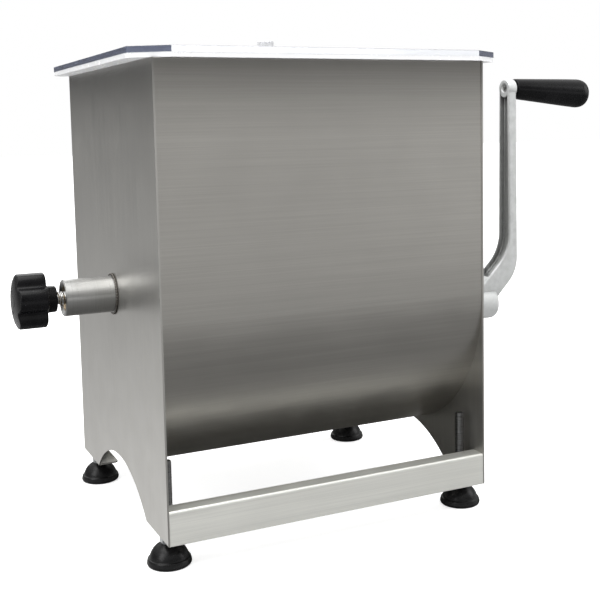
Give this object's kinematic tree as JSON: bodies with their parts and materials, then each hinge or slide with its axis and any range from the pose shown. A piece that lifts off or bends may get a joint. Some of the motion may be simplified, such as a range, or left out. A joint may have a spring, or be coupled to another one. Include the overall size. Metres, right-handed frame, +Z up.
{
  "type": "hand crank meat mixer",
  "caption": "U-shaped stainless tank on rubber feet with a geared hand crank turning an inner paddle, a star-knob screw pivot and a clear lift-off lid.",
  "frame": {"origin": "floor level, under the middle of the overall length from star knob to crank grip, midway between front and rear feet", "axes": "+Z up, +X along the paddle and crank axes towards the crank, +Y towards the rear"},
  "size_m": [0.6202, 0.295, 0.4335],
  "materials": {
    "tank_sheet": "fine-brushed stainless sheet, satin",
    "turned_steel": "turned stainless, semi-polished",
    "zinc_hardware": "bright zinc-plated or stainless fasteners",
    "gear_steel": "machined carbon steel, oiled",
    "cast_aluminium": "bead-blasted and tumbled casting",
    "brass": "machined bearing bronze",
    "white_polymer": "machined food-safe acetal",
    "black_plastic": "moulded phenolic, semi-gloss",
    "rubber": "moulded rubber, matte",
    "clear_plastic": "clear acrylic sheet, polished edges"
  },
  "bodies": {
    "tank_frame": {"trough_wrapper": "tank_sheet", "left_end_panel": "tank_sheet", "right_end_panel": "tank_sheet", "front_rail": "tank_sheet", "rear_rail": "tank_sheet", "front_left_foot": "rubber", "front_right_foot": "rubber", "rear_left_foot": "rubber", "rear_right_foot": "rubber", "foot_studs": "zinc_hardware", "foot_nuts": "zinc_hardware", "foot_washers": "zinc_hardware", "left_bearing_tube": "turned_steel", "lock_bush": "brass", "pivot_guide_bush": "white_polymer", "gear_housing": "cast_aluminium", "gear_cover": "cast_aluminium", "housing_screws": "zinc_hardware", "housing_cap_nuts": "zinc_hardware", "output_bush": "white_polymer", "output_end_bush": "brass", "crank_inner_bush": "brass", "crank_bearing_tube": "turned_steel", "crank_shaft_bushes": "brass", "plunger_o_ring": "rubber"},
    "lock_pivot": {"pivot_plunger": "turned_steel", "plunger_pin": "zinc_hardware"},
    "lock_knob": {"star_knob": "black_plastic", "knob_insert": "brass", "lock_spindle": "turned_steel"},
    "paddle": {"paddle_pivot_cup": "turned_steel", "paddle_shaft": "turned_steel", "paddle_arms": "turned_steel", "paddle_blades": "turned_steel", "drive_sleeve": "turned_steel", "output_shaft": "turned_steel", "driven_gear": "gear_steel", "driven_gear_key": "gear_steel", "gear_retaining_ring": "zinc_hardware", "shaft_v_ring": "rubber"},
    "crank": {"crank_shaft": "turned_steel", "drive_pinion": "gear_steel", "drive_pinion_key": "gear_steel", "pinion_retaining_ring": "zinc_hardware", "crank_thrust_washer": "brass", "crank_arm": "cast_aluminium", "crank_set_screw": "zinc_hardware", "grip_axle": "turned_steel"},
    "crank_grip": {"grip": "black_plastic", "grip_cap": "black_plastic"},
    "lid": {"lid_panel": "clear_plastic", "lid_rim": "clear_plastic", "lid_locating_strips": "clear_plastic", "lid_knob": "clear_plastic", "lid_knob_screw": "zinc_hardware"}
  },
  "joints": [
    {"name": "paddle_spin", "type": "hinge", "parent": "tank_frame", "child": "paddle", "pos_m": [-0.07205, 0, 0.2075], "axis": [1, 0, 0], "continuous": true},
    {"name": "crank_spin", "type": "hinge", "parent": "tank_frame", "child": "crank", "pos_m": [0.12795, 0, 0.1625], "axis": [1, 0, 0], "continuous": true},
    {"name": "grip_spin", "type": "hinge", "parent": "crank", "child": "crank_grip", "pos_m": [0.20995, 0, 0.389], "axis": [0.9981, 0, -0.061], "continuous": true},
    {"name": "lock_slide", "type": "slide", "parent": "tank_frame", "child": "lock_pivot", "axis": [-1, 0, 0], "range_m": [0, 0.012]},
    {"name": "knob_turn", "type": "hinge", "parent": "lock_pivot", "child": "lock_knob", "pos_m": [-0.26205, 0, 0.2075], "axis": [-1, 0, 0], "range_deg": [0, 1440]},
    {"name": "lid_lift", "type": "slide", "parent": "tank_frame", "child": "lid", "axis": [0, 0, 1], "range_m": [0, 0.15]}
  ],
  "couplings": [
    {"joint": "crank_spin", "follows": "paddle_spin", "ratio": -2},
    {"joint": "knob_turn", "follows": "lock_slide", "rad_per_m": 2094.4}
  ]
}
